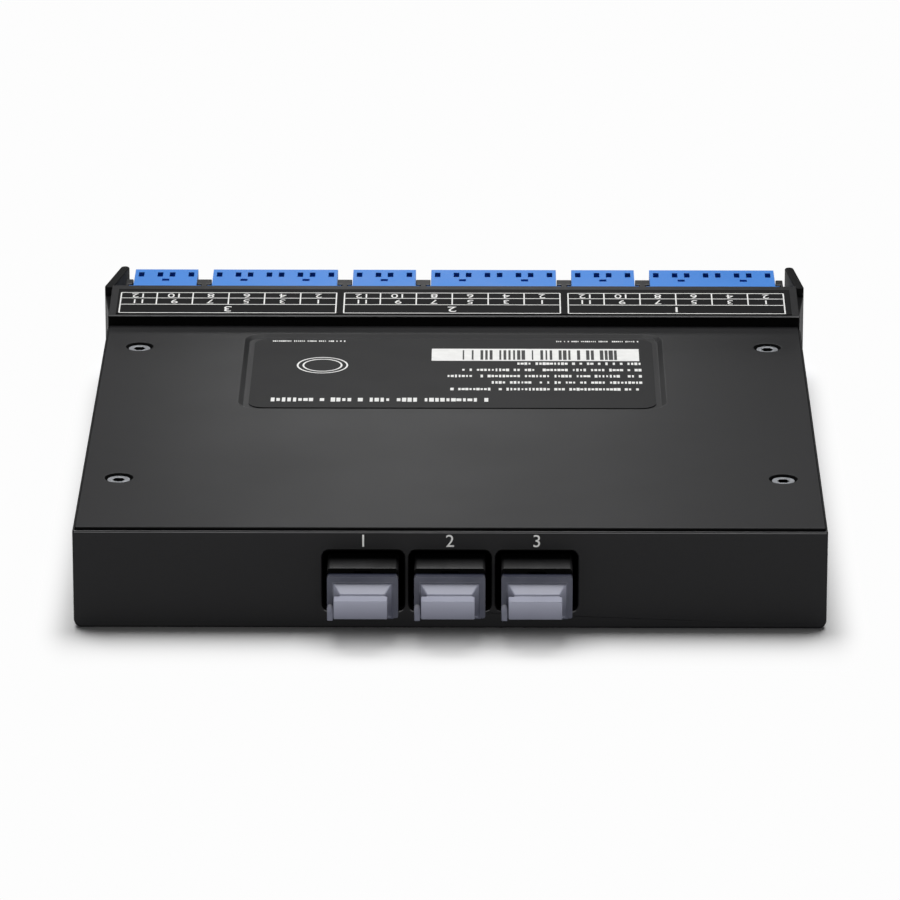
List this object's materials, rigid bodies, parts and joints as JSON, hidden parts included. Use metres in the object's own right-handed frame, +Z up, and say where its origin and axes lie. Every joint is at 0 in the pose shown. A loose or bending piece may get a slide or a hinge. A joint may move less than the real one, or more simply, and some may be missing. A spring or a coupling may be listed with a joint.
{
  "type": "fibre cassette",
  "caption": "Slim black fibre cassette with capped multi-fibre ports at the rear, rows of blue LC ports at the front and squeeze latches at its sides.",
  "frame": {"origin": "middle of the flat underside, halfway across and halfway between the rear wall and the front of the bezel", "axes": "+X across to the right seen from the rear ports, +Y from the rear multi-fibre ports to the front LC ports, +Z up"},
  "size_m": [0.14, 0.17, 0.0222],
  "materials": {
    "housing_plastic": "fine moulded texture, black",
    "latch_plastic": "moulded black",
    "adapter_blue": "satin moulded blue",
    "adapter_black": "moulded black",
    "cap_clear_grey": "translucent smoke grey",
    "plug_black": "moulded black",
    "screw_steel": "zinc plated",
    "label_film": "black polyester label",
    "connector_plastic": "moulded connector",
    "fibre_jacket": "aqua fibre jacket"
  },
  "bodies": {
    "cassette": {"base_housing": "housing_plastic", "cover_screws": "screw_steel", "fibre_harness_1": "fibre_jacket", "fibre_harness_2": "fibre_jacket", "fibre_harness_3": "fibre_jacket", "front_bezel": "housing_plastic", "inner_lc_connectors_lower": "connector_plastic", "inner_lc_connectors_upper": "connector_plastic", "inner_mpo_connector_1": "connector_plastic", "inner_mpo_connector_2": "connector_plastic", "inner_mpo_connector_3": "connector_plastic", "latch_pins": "screw_steel", "lc_adapter_lower_1": "adapter_blue", "lc_adapter_lower_2": "adapter_blue", "lc_adapter_lower_3": "adapter_blue", "lc_adapter_lower_4": "adapter_blue", "lc_adapter_lower_5": "adapter_blue", "lc_adapter_lower_6": "adapter_blue", "lc_adapter_upper_1": "adapter_blue", "lc_adapter_upper_2": "adapter_blue", "lc_adapter_upper_3": "adapter_blue", "lc_adapter_upper_4": "adapter_blue", "lc_adapter_upper_5": "adapter_blue", "lc_adapter_upper_6": "adapter_blue", "mpo_adapter_1": "adapter_black", "mpo_adapter_2": "adapter_black", "mpo_adapter_3": "adapter_black", "port_label_strip": "label_film", "recess_label": "label_film", "top_cover": "housing_plastic"},
    "mpo_cap_1": {"mpo_cap_1": "cap_clear_grey"},
    "mpo_cap_2": {"mpo_cap_2": "cap_clear_grey"},
    "mpo_cap_3": {"mpo_cap_3": "cap_clear_grey"},
    "lc_dust_plug_upper_1": {"lc_dust_plug_upper_1": "plug_black"},
    "lc_dust_plug_upper_2": {"lc_dust_plug_upper_2": "plug_black"},
    "lc_dust_plug_upper_3": {"lc_dust_plug_upper_3": "plug_black"},
    "lc_dust_plug_upper_4": {"lc_dust_plug_upper_4": "plug_black"},
    "lc_dust_plug_upper_5": {"lc_dust_plug_upper_5": "plug_black"},
    "lc_dust_plug_upper_6": {"lc_dust_plug_upper_6": "plug_black"},
    "lc_dust_plug_upper_7": {"lc_dust_plug_upper_7": "plug_black"},
    "lc_dust_plug_upper_8": {"lc_dust_plug_upper_8": "plug_black"},
    "lc_dust_plug_upper_9": {"lc_dust_plug_upper_9": "plug_black"},
    "lc_dust_plug_lower_1": {"lc_dust_plug_lower_1": "plug_black"},
    "lc_dust_plug_lower_2": {"lc_dust_plug_lower_2": "plug_black"},
    "lc_dust_plug_lower_3": {"lc_dust_plug_lower_3": "plug_black"},
    "lc_dust_plug_lower_4": {"lc_dust_plug_lower_4": "plug_black"},
    "lc_dust_plug_lower_5": {"lc_dust_plug_lower_5": "plug_black"},
    "lc_dust_plug_lower_6": {"lc_dust_plug_lower_6": "plug_black"},
    "lc_dust_plug_lower_7": {"lc_dust_plug_lower_7": "plug_black"},
    "lc_dust_plug_lower_8": {"lc_dust_plug_lower_8": "plug_black"},
    "lc_dust_plug_lower_9": {"lc_dust_plug_lower_9": "plug_black"},
    "latch_left": {"latch_left": "latch_plastic"},
    "latch_right": {"latch_right": "latch_plastic"}
  },
  "joints": [
    {"name": "mpo_cap_1_pull", "type": "slide", "parent": "cassette", "child": "mpo_cap_1", "axis": [0, -1, 0], "range_m": [0, 0.012]},
    {"name": "mpo_cap_2_pull", "type": "slide", "parent": "cassette", "child": "mpo_cap_2", "axis": [0, -1, 0], "range_m": [0, 0.012]},
    {"name": "mpo_cap_3_pull", "type": "slide", "parent": "cassette", "child": "mpo_cap_3", "axis": [0, -1, 0], "range_m": [0, 0.012]},
    {"name": "lc_dust_plug_upper_1_pull", "type": "slide", "parent": "cassette", "child": "lc_dust_plug_upper_1", "axis": [0, 1, 0], "range_m": [0, 0.009]},
    {"name": "lc_dust_plug_upper_2_pull", "type": "slide", "parent": "cassette", "child": "lc_dust_plug_upper_2", "axis": [0, 1, 0], "range_m": [0, 0.009]},
    {"name": "lc_dust_plug_upper_3_pull", "type": "slide", "parent": "cassette", "child": "lc_dust_plug_upper_3", "axis": [0, 1, 0], "range_m": [0, 0.009]},
    {"name": "lc_dust_plug_upper_4_pull", "type": "slide", "parent": "cassette", "child": "lc_dust_plug_upper_4", "axis": [0, 1, 0], "range_m": [0, 0.009]},
    {"name": "lc_dust_plug_upper_5_pull", "type": "slide", "parent": "cassette", "child": "lc_dust_plug_upper_5", "axis": [0, 1, 0], "range_m": [0, 0.009]},
    {"name": "lc_dust_plug_upper_6_pull", "type": "slide", "parent": "cassette", "child": "lc_dust_plug_upper_6", "axis": [0, 1, 0], "range_m": [0, 0.009]},
    {"name": "lc_dust_plug_upper_7_pull", "type": "slide", "parent": "cassette", "child": "lc_dust_plug_upper_7", "axis": [0, 1, 0], "range_m": [0, 0.009]},
    {"name": "lc_dust_plug_upper_8_pull", "type": "slide", "parent": "cassette", "child": "lc_dust_plug_upper_8", "axis": [0, 1, 0], "range_m": [0, 0.009]},
    {"name": "lc_dust_plug_upper_9_pull", "type": "slide", "parent": "cassette", "child": "lc_dust_plug_upper_9", "axis": [0, 1, 0], "range_m": [0, 0.009]},
    {"name": "lc_dust_plug_lower_1_pull", "type": "slide", "parent": "cassette", "child": "lc_dust_plug_lower_1", "axis": [0, 1, 0], "range_m": [0, 0.009]},
    {"name": "lc_dust_plug_lower_2_pull", "type": "slide", "parent": "cassette", "child": "lc_dust_plug_lower_2", "axis": [0, 1, 0], "range_m": [0, 0.009]},
    {"name": "lc_dust_plug_lower_3_pull", "type": "slide", "parent": "cassette", "child": "lc_dust_plug_lower_3", "axis": [0, 1, 0], "range_m": [0, 0.009]},
    {"name": "lc_dust_plug_lower_4_pull", "type": "slide", "parent": "cassette", "child": "lc_dust_plug_lower_4", "axis": [0, 1, 0], "range_m": [0, 0.009]},
    {"name": "lc_dust_plug_lower_5_pull", "type": "slide", "parent": "cassette", "child": "lc_dust_plug_lower_5", "axis": [0, 1, 0], "range_m": [0, 0.009]},
    {"name": "lc_dust_plug_lower_6_pull", "type": "slide", "parent": "cassette", "child": "lc_dust_plug_lower_6", "axis": [0, 1, 0], "range_m": [0, 0.009]},
    {"name": "lc_dust_plug_lower_7_pull", "type": "slide", "parent": "cassette", "child": "lc_dust_plug_lower_7", "axis": [0, 1, 0], "range_m": [0, 0.009]},
    {"name": "lc_dust_plug_lower_8_pull", "type": "slide", "parent": "cassette", "child": "lc_dust_plug_lower_8", "axis": [0, 1, 0], "range_m": [0, 0.009]},
    {"name": "lc_dust_plug_lower_9_pull", "type": "slide", "parent": "cassette", "child": "lc_dust_plug_lower_9", "axis": [0, 1, 0], "range_m": [0, 0.009]},
    {"name": "latch_left_squeeze", "type": "hinge", "parent": "cassette", "child": "latch_left", "pos_m": [-0.06655, 0.05125, 0.0144], "axis": [0, 0, -1], "range_deg": [0, 2], "stiffness_Nm_per_rad": 0.1},
    {"name": "latch_right_squeeze", "type": "hinge", "parent": "cassette", "child": "latch_right", "pos_m": [0.06655, 0.05125, 0.0144], "axis": [0, 0, 1], "range_deg": [0, 2], "stiffness_Nm_per_rad": 0.1}
  ]
}
